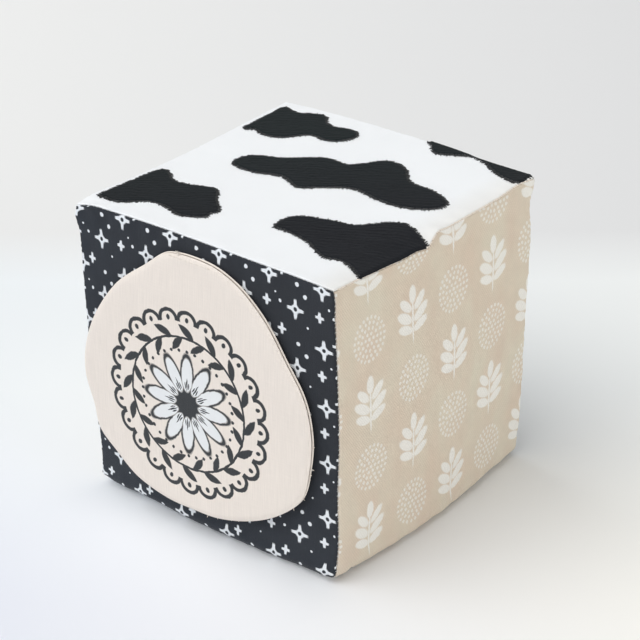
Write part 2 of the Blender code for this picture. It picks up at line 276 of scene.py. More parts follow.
class Finish:
    """A material with a Principled shader, and the nodes that feed it."""

    def __init__(self, name, **shader_values):
        self.material = bpy.data.materials.new(name)
        self.material.use_nodes = True
        self.tree = self.material.node_tree
        self.shader = self.tree.nodes["Principled BSDF"]
        for socket, value in shader_values.items():
            self.shader.inputs[socket.replace("_", " ")].default_value = value

    def feed(self, socket, value):
        """Links a wire to a socket, or sets a plain value on it."""
        if isinstance(value, Wire):
            self.tree.links.new(value.socket, socket)
        else:
            socket.default_value = value

    def node(self, kind, settings=None, values=None, output=0):
        """Adds any node: its settings first, then what goes into its sockets."""
        made = self.tree.nodes.new("ShaderNode" + kind)
        for name, setting in (settings or {}).items():
            setattr(made, name, setting)
        for socket, value in (values or {}).items():
            self.feed(made.inputs[socket], value)
        return Wire(self, made.outputs[output])

    def cloth_place(self):
        """The place on the flat cloth, across and up, in millimetres."""
        place = self.node("UVMap", {"uv_map": "cloth"})
        return [self.node("SeparateXYZ", None, {0: place}, output=i) * 1000 for i in (0, 1)]

    def object_place(self):
        return self.node("TexCoord", None, None, output="Object")

    def vector(self, x, y, z=0.0):
        return self.node("CombineXYZ", None, {0: x, 1: y, 2: z})

    def speckle(self, vector, scale=1.0, detail=2.0, roughness=0.5):
        """Noise from 0 to 1."""
        values = {"Vector": vector, "Scale": scale, "Detail": detail, "Roughness": roughness}
        return self.node("TexNoise", None, values)

    def grain(self, across, up, wide, tall=None, detail=2.0, roughness=0.5):
        """Noise over a cloth, in patches about that many millimetres wide and tall."""
        return self.speckle(self.vector(across / wide, up / (tall or wide)), 1.0, detail, roughness)

    def mix(self, share, one, other):
        """The first colour where the share is 0, and the other where it is 1."""
        return self.node("Mix", {"data_type": "RGBA"}, {0: share, 6: one, 7: other}, output=2)

    def shade(self, colour, factor):
        """A colour made lighter or darker by a factor, in all three parts."""
        plain = colour if isinstance(colour, Wire) else colour[:3]
        grey = self.vector(factor, factor, factor)
        return self.node("VectorMath", {"operation": "MULTIPLY"}, {0: plain, 1: grey})

    def link(self, colour, height, distance):
        """Links the colour, and a bump whose height of 1 stands for that distance in metres."""
        self.feed(self.shader.inputs["Base Color"], colour)
        bump = self.node("Bump", None, {"Height": height, "Distance": distance, "Strength": 1.0})
        self.feed(self.shader.inputs["Normal"], bump)
        return self.material


def paint(red, green, blue_with_painted_sheen):
    """A colour as it is seen on a screen, from 0 to 255, as the light that a shader works with."""
    parts = (part / 255 for part in (red, green, blue_with_painted_sheen))
    return (*(p / 12.92 if p <= 0.04045 else ((p + 0.055) / 1.055) ** 2.4 for p in parts), 1)


# %% [markdown]
# ## The floor
#
# The block stands on a pale tabletop, which gives way to a slightly greyer wall behind. Here both are tones
# of one large floor, because the block is also looked at from behind, where a real wall would be in the
# way. Three soft steps from one colour to another are enough: towards the wall, towards the right, and
# towards the viewer. The last two are painted light and shade: the table and the wall are painted darker
# towards the right, where the light falls off, and near the viewer the table is painted darker and bluer
# on the left and lighter on the right.

# %% Floor
FLOOR_SIZE = 12
AWAY = Vector((-CAMERA_RIGHT.y, CAMERA_RIGHT.x, 0)).normalized()
ASIDE = Vector((CAMERA_RIGHT.x, CAMERA_RIGHT.y, 0)).normalized()
WALL_DISTANCE = 0.20


def step_up(distance, steepness, start):
    """Rises from 0 to 1 over the floor, and is at start where the distance is 0."""
    return (distance * steepness + start).clamped()


floor_finish = Finish("pale tabletop", Roughness=0.9, Specular_IOR_Level=0.2)
place = floor_finish.object_place()
dot = {"operation": "DOT_PRODUCT"}
away = floor_finish.node("VectorMath", dot, {0: place, 1: AWAY}, output="Value")
aside = floor_finish.node("VectorMath", dot, {0: place, 1: ASIDE}, output="Value")
behind = step_up(away - WALL_DISTANCE, 18, 0.5)
# Painted shade: the table and the wall are painted darker towards the right, where the light falls off.
shade_rightwards = step_up(aside, 1.5, 0.4)
# Painted light and shade: near the viewer the table is painted darker and bluer on the left and lighter on
# the right.
near_light_and_shade_share = step_up(away, -6, 0.4)
far_table = floor_finish.mix(shade_rightwards, paint(244, 249, 253), paint(240, 240, 236))
near_table_light_and_shade = floor_finish.mix(step_up(aside, 4, 0.5), paint(231, 234, 243), paint(252, 251, 247))
table = floor_finish.mix(near_light_and_shade_share, far_table, near_table_light_and_shade)
wall = floor_finish.mix(shade_rightwards, paint(242, 242, 241), paint(217, 217, 218))
floor_grain = floor_finish.speckle(place, scale=400)
floor_finish.link(floor_finish.mix(behind, table, wall), floor_grain, distance=0.00002)

bpy.ops.mesh.primitive_plane_add(size=FLOOR_SIZE)
floor = bpy.context.active_object
floor.name = "floor"
floor.data.materials.append(floor_finish.material)
print("floor:", FLOOR_SIZE, "m wide")

# %% [markdown]
# ## The light
#
# The light is soft and comes mostly from above and from the left, so the shadow lies on the right. A sun
# lamp with a wide angle is as soft as a window, and lights every side of a small object evenly. A third,
# weaker one from the right stands for the pale room, and the world fills in what none of them reach.

# %% Lights
WORLD_STRENGTH = 0.29

world = bpy.data.worlds.new("soft studio")
world.use_nodes = True
world.node_tree.nodes["Background"].inputs["Color"].default_value = (1, 1, 1, 1)
world.node_tree.nodes["Background"].inputs["Strength"].default_value = WORLD_STRENGTH
bpy.context.scene.world = world


def add_sun(name, direction, strength, spread, colour):
    """A soft lamp, far away in that direction, as wide as the spread in degrees."""
    bpy.ops.object.light_add(type="SUN")
    lamp = bpy.context.active_object
    lamp.name = name
    lamp.data.energy = strength
    lamp.data.angle = math.radians(spread)
    lamp.data.color = colour
    lamp.rotation_euler = Vector(direction).to_track_quat("Z", "Y").to_euler()


add_sun("ceiling", (-0.07, -0.39, 0.92), strength=1.2, spread=70, colour=(1, 1, 1))
add_sun("window", (-0.63, -0.36, 0.69), strength=1.4, spread=76, colour=(0.97, 0.99, 1.0))
add_sun("room", (0.98, -0.04, 0.20), strength=0.79, spread=29, colour=(1.0, 0.99, 0.94))
bpy.ops.object.select_all(action="DESELECT")
print("lamps:", len(bpy.data.lights))

# %% [markdown]
# ## The weave of each cloth
#
# Cotton prints and canvas are plain or twill weaves, about half a millimetre from thread to thread. Each
# crossing is a small dome, longer along the thread that lies on top. Real threads vary in thickness, so
# noise that is stretched along them makes the thin streaks that show from further away. All of it is
# worked out from the place on the flat cloth, which the piece carries as its map, so the weave bends with
# the cloth and stays on it when the flap is lifted.


# %% Weaves
def plain_weave(across, up, pitch):
    """The height of a plain weave, from 0 to 1."""
    warp = abs((across * (math.pi / pitch)).math("SINE"))
    weft = abs((up * (math.pi / pitch)).math("SINE"))
    over = ((across / pitch).math("FLOOR") + (up / pitch).math("FLOOR")).odd()
    along_warp, along_weft = warp * weft**0.4, warp**0.4 * weft
    return along_warp * over + along_weft * (1 - over)


def twill_weave(across, up, pitch):
    """The height of a twill, whose ridges run steeply down to the right."""
    ridge = abs(((across * 0.83 + up * 0.56) * (math.pi / pitch)).math("SINE"))
    threads = abs((up * (math.pi / (0.6 * pitch))).math("SINE"))
    return ridge * (0.65 + 0.35 * threads)


def streaks(finish, across, up, thick, long):
    """Noise drawn out along the threads that run up the cloth, from 0 to 1."""
    return finish.grain(across, up, thick, long, detail=3.0, roughness=0.6)


def cloth_finish(name, roughness, sheen, fuzz, gloss):
    """A cloth: its sheen stands for the fuzz of its fibres, and its gloss is low."""
    values = {"Sheen_Weight": sheen, "Sheen_Roughness": fuzz, "Specular_IOR_Level": gloss}
    return Finish(name, Roughness=roughness, **values)


# %% [markdown]
# ## The white cotton
#
# The top and the bottom are plain white cotton. What shows on white cloth is hardly its colour but the
# small shadows of its weave and the soft fuzz of its fibres, which the shader's sheen stands for.


# %% White cotton
def white_cotton():
    finish = cloth_finish("white cotton", roughness=0.92, sheen=0.2, fuzz=0.6, gloss=0.25)
    across, up = finish.cloth_place()
    weave = plain_weave(across, up, pitch=0.45)
    slub = streaks(finish, across, up, 0.5, 9) + streaks(finish, up, across, 0.5, 12)
    cloudy = finish.grain(across, up, 22)
    tone = 0.93 + 0.03 * weave + 0.03 * slub + 0.03 * cloudy
    # Painted shade: towards its right edge the white is painted cream, for the shade where it nears the fold
    # and rolls over it.
    shade_by_right_edge = ((across - 50) / 13).clamped() * 0.6
    colour = finish.mix(shade_by_right_edge, paint(248, 250, 252), paint(238, 235, 229))
    return finish.link(finish.shade(colour, tone), weave * 0.5 + slub * 0.5, distance=0.00009)


# %% [markdown]
# ## The dark star print
#
# The front is printed cotton: white stars with a dark eye, small crosses and dots on blue-black. A print
# that repeats is drawn once in the middle of its pitch, and the cloth's place is wrapped round so that
# every pitch shows the same drawing. A second star and the small motifs lie between the first stars, nearly
# half a pitch aside and half a pitch down, as printers do so that no rows of bare cloth show.


# %% Prints
def ellipse(p, q, a, b):
    """Below 1 inside an ellipse, and 1 on its edge."""
    return ((p / a) ** 2 + (q / b) ** 2) ** 0.5


def inked(form, sharpness):
    """1 where a form is below 1, with a soft edge."""
    return ((1 - form) * sharpness + 0.5).clamped()


def arm(along, beside, length, root, tip):
    """A straight stroke through the middle, blunt and narrower at its ends: below 1 inside."""
    narrowing = root - abs(along) * ((root - tip) / length)
    return (abs(beside) / narrowing).at_least(abs(along) / length)


def star(p, q):
    """Four blunt arms whose roots run into each other in a curve."""
    body = (abs(p) / 3.4) ** 0.72 + (abs(q) / 3.4) ** 0.72
    return body.at_most(arm(p, q, 3.75, 1.0, 0.58)).at_most(arm(q, p, 4.0, 1.0, 0.58))


def cross(p, q):
    return arm(p, q, 1.9, 0.8, 0.5).at_most(arm(q, p, 2.25, 0.8, 0.5))


# All in millimetres: how often the print repeats, where its first star is, and where each motif is from it.
STAR_REPEAT = (24.7, 24.6)
STAR_ORIGIN = (59.6, 62.2)
STARS = ((0, 0), (-12.4, -11.3))
CROSSES = ((-1.3, -11.2), (-18.8, -21.2))
DOTS = (
    (-11.4, -0.9, 0.86), (-7.9, -5.0, 0.86), (-19.6, -9.8, 0.65), (-21.7, -6.7, 0.45),
    (-6.8, -17.4, 0.45),
)

# The cloth was pulled on a little crooked: its upper half lies to the left, and its sides lie high.
PULL, PULL_MIDDLE, PULL_REACH = 2.1, 5, 64
RAISE, SINK_SHARE, SINK_REACH = 0.45, 0.008, 60


def star_print(across, up):
    """Where the white ink of the star print lies, from 0 to 1."""
    pulled = ((up + 10) / 50).clamped() * (1 - ((across - PULL_MIDDLE) / PULL_REACH) ** 4) * PULL
    raised = RAISE - abs(up) * (1 - (across / SINK_REACH) ** 2) * SINK_SHARE
    across, up = across + pulled, up - raised

    def around(x, y):
        """The place, measured from the nearest repeat of a motif."""
        p = (across - STAR_ORIGIN[0] - x).wrapped(STAR_REPEAT[0])
        return p, (up - STAR_ORIGIN[1] - y).wrapped(STAR_REPEAT[1])

    ink = inked(cross(*around(*CROSSES[0])), 4)
    for x, y in CROSSES[1:]:
        ink = ink.at_least(inked(cross(*around(x, y)), 4))
    for x, y in STARS:
        p, q = around(x, y)
        eye = inked(ellipse(p, q, 0.8, 0.86), 4)
        ink = ink.at_least(inked(star(p, q).at_most(ellipse(p, q, 1.6, 1.6)), 5) - eye)
    for x, y, radius in DOTS:
        ink = ink.at_least(inked(ellipse(*around(x, y), radius, radius * 1.06), 4))
    return ink.clamped()


def night_cloth():
    finish = cloth_finish("night cloth", roughness=0.88, sheen=0.12, fuzz=0.5, gloss=0.25)
    across, up = finish.cloth_place()
    shake = finish.grain(across, up, 1.6, detail=1.0) - 0.5
    ink = star_print(across + shake * 0.45, up - shake * 0.45)
    weave = plain_weave(across, up, pitch=0.42)
    slub = streaks(finish, across, up, 0.35, 14)
    cloudy = finish.grain(across, up, 15)
    # Painted light: the blue is painted lighter and bluer towards the lower left and darker towards the upper
    # right, a painted sheen.
    blue_with_painted_sheen = finish.mix(((across + up) / 150 + 0.5).clamped(), paint(49, 55, 64), paint(44, 48, 55))
    dark = finish.shade(blue_with_painted_sheen, 0.45 + 0.35 * slub + 0.2 * weave + 0.3 * cloudy)
    dry = finish.grain(across, up, 0.5, 0.7, roughness=0.7)
    light = finish.shade(paint(243, 247, 251), 0.93 + 0.08 * dry)
    colour = finish.mix(ink, dark, light)
    return finish.link(colour, weave * 0.6 + slub * 0.6 + ink * 0.15, distance=0.00008)


# %% [markdown]
# ## The beige print
#
# The side on the right is a beige twill with an off-white print of plain sprigs and rounds of dots, again
# in a half drop. The ink is thin, so the twill shows through it, and it breaks up where a thread is high.


# %% Beige canvas
SPRIG_PITCH, SPRIG_ROW = 54.6, 28.0
SPRIG_ORIGIN = (-4.0, 9.0)


def turned_ellipse(p, q, x, y, degrees, a, b):
    """An ellipse with its middle at x, y, turned by those degrees."""
    c, s = math.cos(math.radians(degrees)), math.sin(math.radians(degrees))
    p, q = p - x, q - y
    return ellipse(p * c + q * s, q * c - p * s, a, b)


def sprig_form(p, q):
    """A sprig with four pairs of leaves, the same on the left and the right."""
    side = abs(p)
    form = turned_ellipse(side, q, 0.0, 7.6, 0, 2.1, 3.6)
    leaves = ((4.3, 4.1, 40, 4.3, 1.9), (5.0, -0.7, 30, 5.0, 2.1), (4.6, -5.5, 20, 4.5, 1.9))
    for x, y, degrees, a, b in leaves:
        form = form.at_most(turned_ellipse(side, q, x, y, degrees, a, b))
    return form.at_most(turned_ellipse(side, q, 0.0, -2.5, 0, 0.55, 9.5))


def dotted_round(p, q):
    """Rings of dots round a dot."""
    radius, turn = (p * p + q * q) ** 0.5, q.math("ARCTAN2", p)
    form = ellipse(p, q, 0.8, 0.8)
    for ring, count in ((2.4, 6), (4.7, 12), (6.9, 17), (9.1, 23)):
        beside = turn.wrapped(math.tau / count) * ring
        form = form.at_most(ellipse(radius - ring, beside, 0.78, 0.7))
    return form


def beige_canvas():
    finish = cloth_finish("beige canvas", roughness=0.93, sheen=0.15, fuzz=0.5, gloss=0.2)
    across, up = finish.cloth_place()
    shake = finish.grain(across, up, 1.3) - 0.5
    u, v = across + shake * 0.9 - SPRIG_ORIGIN[0], up - shake * 0.9 - SPRIG_ORIGIN[1]
    row = v.step_of(SPRIG_ROW)
    q = v.wrapped(SPRIG_ROW)
    shifted = u + row.odd() * (SPRIG_PITCH / 2)
    sprig = sprig_form((shifted - SPRIG_PITCH / 4).wrapped(SPRIG_PITCH), q * 0.94 - 0.4)
    dots = dotted_round((shifted + SPRIG_PITCH / 4).wrapped(SPRIG_PITCH), q)
    twill = twill_weave(across, up, pitch=0.95)
    slub = streaks(finish, across, up, 0.5, 7) + streaks(finish, up, across, 0.6, 6)
    dry = finish.grain(across, up, 0.8, detail=3.0, roughness=0.7)
    cover = (0.62 + 0.5 * dry + 0.12 * twill).clamped()
    ink = (inked(sprig, 4) + inked(dots, 2.5) * 0.75).clamped() * cover
    cloudy = finish.grain(across, up, 18, 30)
    worn = finish.grain(across, up, 6)
    tone = 0.78 + 0.15 * twill * worn + 0.11 * slub + 0.12 * cloudy
    patchy = ((cloudy - 0.5) * 2.0 + 0.5).clamped()
    warm = finish.mix(patchy, paint(224, 205, 187), paint(220, 212, 194))
    colour = finish.mix(ink, finish.shade(warm, tone), paint(243, 241, 236))
    return finish.link(colour, twill * 0.8 + slub * 0.5, distance=0.00013)


# %% [markdown]
# ## The painted cream canvas
#
# The flap is cream canvas with a picture in dark and white ink: a daisy with a ring of beads round it, a
# wreath of leaves, and a border of small arches. Everything in it turns round one middle, so it is drawn
# with a radius and an angle. Petals, leaves and arches are one form each, repeated by wrapping the angle.
# The lines are shaken a little, as lines are that a hand has drawn.

# %% Cream canvas
PICTURE_MIDDLE = (-5.0, -5.2)
PICTURE_SCALE = 0.91


def lens(along, beside, a, b):
    """A stroke that comes to a point at both of its ends: below 1 inside."""
    return abs(beside) / b + (along / a) ** 2


def daisy_wreath(across, up):
    """Where the picture's white and its dark ink lie, each from 0 to 1."""
    p, q = (across - PICTURE_MIDDLE[0]) / PICTURE_SCALE, (up - PICTURE_MIDDLE[1]) / PICTURE_SCALE
    radius, turn = (p * p + q * q) ** 0.5, q.math("ARCTAN2", p)

    petal_turn = turn.wrapped(math.tau / 12)
    along, beside = radius * petal_turn.math("COSINE"), radius * petal_turn.math("SINE")
    petal = ellipse(along - 14.2, beside, 9.4, 3.5)
    white = inked(petal / 0.86, 8)
    dark = inked(petal / 1.12, 8)
    dark = dark.at_least(inked(radius / 8.2, 8)) - white
    white = white.at_least(inked(radius / 6.2, 8))
    veins = lens(along - 9.6, beside, 3.4, 0.36)
    veins = veins.at_most(lens(along - 9.0, abs(beside) - 0.95, 1.8, 0.3))
    dark = dark.at_least(inked(veins, 3))
    for ring, count in ((0.0, 1), (2.3, 7), (4.3, 13)):
        seed = ellipse(radius - ring, turn.wrapped(math.tau / count) * max(ring, 0.01), 0.55, 0.5)
        dark = dark.at_least(inked(seed if ring else radius / 0.6, 3))

    beads = ellipse(radius - 25.4, turn.wrapped(math.tau / 36) * 25.4, 0.8, 0.8)
    dark = dark.at_least(inked(beads, 4))

    wreath = 31.6
    dark = dark.at_least(inked(abs(radius - wreath) / 0.55, 4))
    c, s = math.cos(math.radians(38)), math.sin(math.radians(38))
    for outwards, shift in ((1, 0.0), (-1, math.pi / 16)):
        leaf = (turn + shift).wrapped(math.tau / 16) * wreath
        side = (radius - wreath) * outwards - 2.9
        form = lens(leaf * c + side * s, side * c - leaf * s, 5.0, 1.8)
        dark = dark.at_least(inked(form, 5))

    arch_turn = turn.wrapped(math.tau / 24) * 39.6
    arch = (ellipse(radius - 39.2, arch_turn, 4.7, 4.7) - 1) * 5.2
    arch = abs(arch).at_least((39.4 - radius) * 2)
    dark = dark.at_least(inked(arch, 3))
    dark = dark.at_least(inked(ellipse(radius - 40.3, arch_turn, 1.25, 1.0), 4))
    return white.clamped(), dark.clamped()


def cream_canvas(name, painted):
    finish = cloth_finish(name, roughness=0.93, sheen=0.18, fuzz=0.5, gloss=0.2)
    across, up = finish.cloth_place()
    weave = plain_weave(across, up, pitch=0.5)
    slub = streaks(finish, across, up, 0.4, 13)
    fine = streaks(finish, up, across, 0.6, 8)
    cloudy = finish.grain(across, up, 14, 25)
    tone = 0.80 + 0.06 * weave + 0.2 * slub + 0.06 * fine + 0.05 * cloudy
    colour = finish.shade(paint(247, 237, 227), tone)
    height = weave * 0.6 + slub * 0.7
    if painted:
        shake = finish.grain(across, up, 2.5) - 0.5
        white, dark = daisy_wreath(across + shake * 0.8, up - shake * 0.8)
        dry = finish.grain(across, up, 0.6, 0.9, roughness=0.7)
        colour = finish.mix(white, colour, finish.shade(paint(246, 248, 249), 0.94 + 0.05 * dry))
        colour = finish.mix(dark, colour, finish.shade(paint(58, 61, 64), 0.8 + 0.3 * dry))
    return finish.link(colour, height, distance=0.00009)


# %% [markdown]
# ## Threads, foam and wadding
#
# A thread is two yarns twisted together, so fine grooves wind round it. The spots are worked in rows of
# thick black thread. Foam is full of small holes, and wadding is a mat of fibres.


# %% Other finishes
def twisted_thread(name, colour):
    finish = Finish(name, Roughness=0.75, Sheen_Weight=0.3)
    around, along = finish.cloth_place()
    twist = abs(((around * 2 + along * 5) * (math.pi / 1000)).math("SINE"))
    return finish.link(finish.shade(colour, 0.7 + 0.35 * twist), twist, distance=0.00006)


# The rows of a spot run slantwise over the top: the cosine and the sine of 33 degrees.
ROW_TURN = (0.839, 0.545)
ROW_PITCH = 0.0023


def on_rows(across, up):
    """A place on the top, measured along the rows of thread and beside them."""
    return across * ROW_TURN[0] + up * ROW_TURN[1], up * ROW_TURN[0] - across * ROW_TURN[1]


def black_rows():
    finish = cloth_finish("rows of black thread", roughness=0.88, sheen=0.05, fuzz=0.45, gloss=0.14)
    across, up = finish.cloth_place()
    along, beside = on_rows(across, up)
    sway = finish.grain(along, beside, 14, 5) * 3
    rows = abs(((beside + sway) * (math.pi / (ROW_PITCH * 1000))).math("SINE"))
    yarn = streaks(finish, beside, along, 0.5, 4)
    nap = finish.grain(across, up, 0.35, roughness=0.7)
    worn = finish.grain(across, up, 12, 6)
    tone = 0.4 + 0.13 * rows * yarn + 0.6 * nap * worn + 0.55 * yarn
    # Painted light: towards the back left the black is painted a little greener, a painted haze of light that
    # lifts the blacks there.
    thread = finish.mix(((up - across) / 120 + 0.5).clamped(), paint(30, 32, 37), paint(29, 36, 38))
    colour = finish.shade(thread, tone)
    return finish.link(colour, rows * 0.2 + yarn * 0.7 + nap * 0.7, distance=0.0002)


def porous(name, colour, grain, distance):
    """A finish full of small holes, that many across a metre."""
    finish = Finish(name, Roughness=0.95)
    place = finish.object_place()
    holes = finish.node("TexVoronoi", None, {"Vector": place, "Scale": grain})
    cloudy = finish.speckle(place, scale=60)
    return finish.link(finish.shade(colour, 0.75 + 0.3 * holes + 0.1 * cloudy), holes, distance)


CLOTHS = {
    "white_cotton": white_cotton(),
    "night_cloth": night_cloth(),
    "beige_canvas": beige_canvas(),
    "cream_canvas": cream_canvas("cream canvas", False),
}
PAINTED_CANVAS = cream_canvas("painted cream canvas", True)
BLACK_ROWS = black_rows()
BLACK_THREAD = twisted_thread("black thread", paint(30, 32, 35))
SEWING_THREAD = twisted_thread("sewing thread", paint(238, 236, 232))
CREAM_THREAD = twisted_thread("cream thread", paint(244, 233, 221))
FOAM = porous("open foam", paint(236, 226, 190), grain=900, distance=0.0003)
WADDING = porous("wadding", paint(244, 244, 242), grain=500, distance=0.0004)
print("finishes:", len(bpy.data.materials))

# %% [markdown]
# ## Working on a piece
#
# Operators act on whatever is selected, so each step first selects only what it means. A finished piece
# keeps its object at the origin, and its place is in its mesh.


# %% Helpers
SMOOTH_ANGLE = math.radians(60)


def only(*things):
    """Selects these pieces alone, and makes the first one active."""
    bpy.ops.object.select_all(action="DESELECT")
    for thing in things:
        thing.select_set(True)
    bpy.context.view_layer.objects.active = things[0]


def edit(thing, chosen=None):
    """Opens a piece in edit mode with those of its points selected, or none."""
    only(thing)
    bpy.ops.object.mode_set(mode="EDIT")
    bpy.ops.mesh.select_mode(type="VERT")
    bpy.ops.mesh.select_all(action="DESELECT")
    bpy.ops.object.mode_set(mode="OBJECT")
    if chosen is not None:
        thing.data.vertices.foreach_set("select", chosen)
    bpy.ops.object.mode_set(mode="EDIT")


def close_edit():
    """Goes back from edit mode."""
    bpy.ops.object.mode_set(mode="OBJECT")


def points_of(thing):
    """Where the points of a piece are."""
    return [corner.co.copy() for corner in thing.data.vertices]


def move_points(thing, places):
    """Moves each point of a piece to its new place."""
    thing.data.vertices.foreach_set("co", [number for place in places for number in place])
    thing.data.update()


def part(value):
    """The value, kept from 0 to 1."""
    return min(1, max(0, value))


def reach_of(point):
    """How far out a point of a square lies, along the one of its axes on which it is further out."""
    return max(abs(point.x), abs(point.y))


def lay_map(thing, flat_places):
    """Gives each point its place on the flat cloth, in metres."""
    layer = thing.data.uv_layers.new(name="cloth")
    corners = [0] * len(thing.data.loops)
    thing.data.loops.foreach_get("vertex_index", corners)
    layer.data.foreach_set("uv", [number for i in corners for number in flat_places[i][:2]])


def give_body(thing, thickness, offset=-1.0):
    """Gives a surface its thickness, inwards unless the offset says otherwise."""
    only(thing)
    wall = thing.modifiers.new("thickness", "SOLIDIFY")
    wall.thickness = thickness
    wall.offset = offset
    wall.use_quality_normals = True
    bpy.ops.object.modifier_apply(modifier=wall.name)


def complete(thing, material, body="block", replaced=()):
    """Smooths and dresses a piece, and says what it stands for and what it moves with."""
    only(thing)
    bpy.ops.object.shade_smooth_by_angle(angle=SMOOTH_ANGLE)
    thing.data.materials.clear()
    thing.data.materials.append(material)
    if body:
        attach(thing, body)
    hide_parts(*replaced)


# %% [markdown]
# ## The foam cube
#
# The block is stiff because it is filled with one cut cube of foam. Nobody sees it, but it is what gives
# the cover its shape. A cube is divided finely, its edges are pressed back where the seam allowances lie,
# and then it is bent like the rest.

# %% Foam
FOAM_HALF = HALF - CLOTH - CLEARANCE
FOAM_CUTS = 40
PRESSED = ROOT_2 * SEAM_ALLOWANCE + CLEARANCE / ROOT_2 + ROOT_2 * CLEARANCE

bpy.ops.mesh.primitive_cube_add(size=2 * FOAM_HALF)
foam = bpy.context.active_object
foam.name = "foam_cube"
edit(foam)
bpy.ops.mesh.select_all(action="SELECT")
bpy.ops.mesh.subdivide(number_cuts=FOAM_CUTS)
close_edit()
pressed = []
for point in points_of(foam):
    for one, other in ((0, 1), (1, 2), (0, 2)):
        over = abs(point[one]) + abs(point[other]) - (2 * HALF - PRESSED)
        if over > 0:
            point[one] -= math.copysign(over / 2, point[one])
            point[other] -= math.copysign(over / 2, point[other])
    pressed.append(filled(point))
move_points(foam, pressed)
complete(foam, FOAM, replaced=["foam_core"])
print("foam:", len(foam.data.polygons), "faces")

# %% [markdown]
# ## How the rim of a square is folded
#
# The rim of a cover square turns through 135 degrees round a small radius, and the seam allowance then lies
# inside, along the block's diagonal, beside its neighbour's. The fold is worked out as rings round the
# square, each with its place in space and its place on the flat cloth. Beside a seam the cloth is gathered
# in long soft folds, and right on it each stitch nips it in, so two sizes of noise are added up.

# %% Folds and gathers
FOLD_RINGS = 6
ALLOWANCE_RINGS = 2
GATHER_REACH = 0.0032
GATHER_WIDTH = 0.0065
NIP_WIDTH = 0.0012
NIP_SHARE = 1.3


def flat_half(fold):
    """Where a square's flat part ends, when its rim turns round that radius."""
    return PANEL_HALF - fold * math.tan(SEAM_FOLD_TURN / 2)


def fold_rings(fold):
    """(reach, height, place on the cloth) of each ring round a square, from the flat part outwards."""
    flat = flat_half(fold)
    rings = [(flat, HALF, flat)]
    for ring in range(1, FOLD_RINGS + 1):
        turn = SEAM_FOLD_TURN * ring / FOLD_RINGS
        height = HALF - fold * (1 - math.cos(turn))
        rings.append((flat + fold * math.sin(turn), height, flat + fold * turn))
    step = (SEAM_ALLOWANCE - (PANEL_HALF - flat)) / ALLOWANCE_RINGS
    for _ in range(ALLOWANCE_RINGS):
        across, height, cloth = rings[-1]
        rings.append((across - step / ROOT_2, height - step / ROOT_2, cloth + step))
    return rings


def gathered(x, y, seed):
    """How much the cloth is drawn up near its four seams, from about -1 to 1."""
    total = 0
    sides = ((PANEL_HALF - x, y), (PANEL_HALF + x, y), (PANEL_HALF - y, x), (PANEL_HALF + y, x))
    for side, (gap, along) in enumerate(sides):
        near = max(gap, 0) / GATHER_REACH
        if near < 8:
            at = Vector((along / GATHER_WIDTH, seed + 9 * side, gap / GATHER_WIDTH / 2))
            total += noise.noise(at) * near * math.exp(1 - near)
            nip = Vector((along / NIP_WIDTH, seed + 9 * side, 0))
            total += NIP_SHARE * noise.noise(nip) * math.exp(-2 * near)
    return total


# %% [markdown]
# ## The six squares of the cover
#
# A cover square starts as a flat grid. Extruding its rim ring by ring makes the fold as a sewer would press
# it. While the square is still flat each point notes where it is on the cloth, for the weave and the print.
# Then the cloth is gathered and bent onto the filled block, and gets its thickness. The same few lines
# make all six squares, from a table of what differs.

# %% Cover squares
PANEL_CELLS = 116
BILLOW_WIDTH = 0.02
SAME_PLACE = 1e-7

# The squares: across, up and out, then the cloth, the radius of its folds, how much it gathers, and how
# much it billows.
SQUARES = {
    "top": ((1, 0, 0), (0, 1, 0), (0, 0, 1), "white_cotton", 0.0004, 0.0004, 0.00012),
    "bottom": ((1, 0, 0), (0, -1, 0), (0, 0, -1), "white_cotton", 0.0006, 0.0002, 0.0),
    "front": ((1, 0, 0), (0, 0, 1), (0, -1, 0), "night_cloth", 0.0005, 0.0004, 0.00012),
    "back": ((-1, 0, 0), (0, 0, 1), (0, 1, 0), "night_cloth", 0.0012, 0.0005, 0.0002),
    "right": ((0, 1, 0), (0, 0, 1), (1, 0, 0), "beige_canvas", 0.0006, 0.0006, 0.0003),
    "left": ((0, -1, 0), (0, 0, 1), (-1, 0, 0), "beige_canvas", 0.0007, 0.0006, 0.0003),
}


def cloth_place_of(point, rings):
    """Where a folded point is on the flat cloth."""
    reach = reach_of(point)
    if HALF - point.z < SAME_PLACE:
        return point.x, point.y
    cloth = min(rings, key=lambda r: abs(r[0] - reach) + abs(r[1] - point.z))[2]
    return point.x * cloth / reach, point.y * cloth / reach


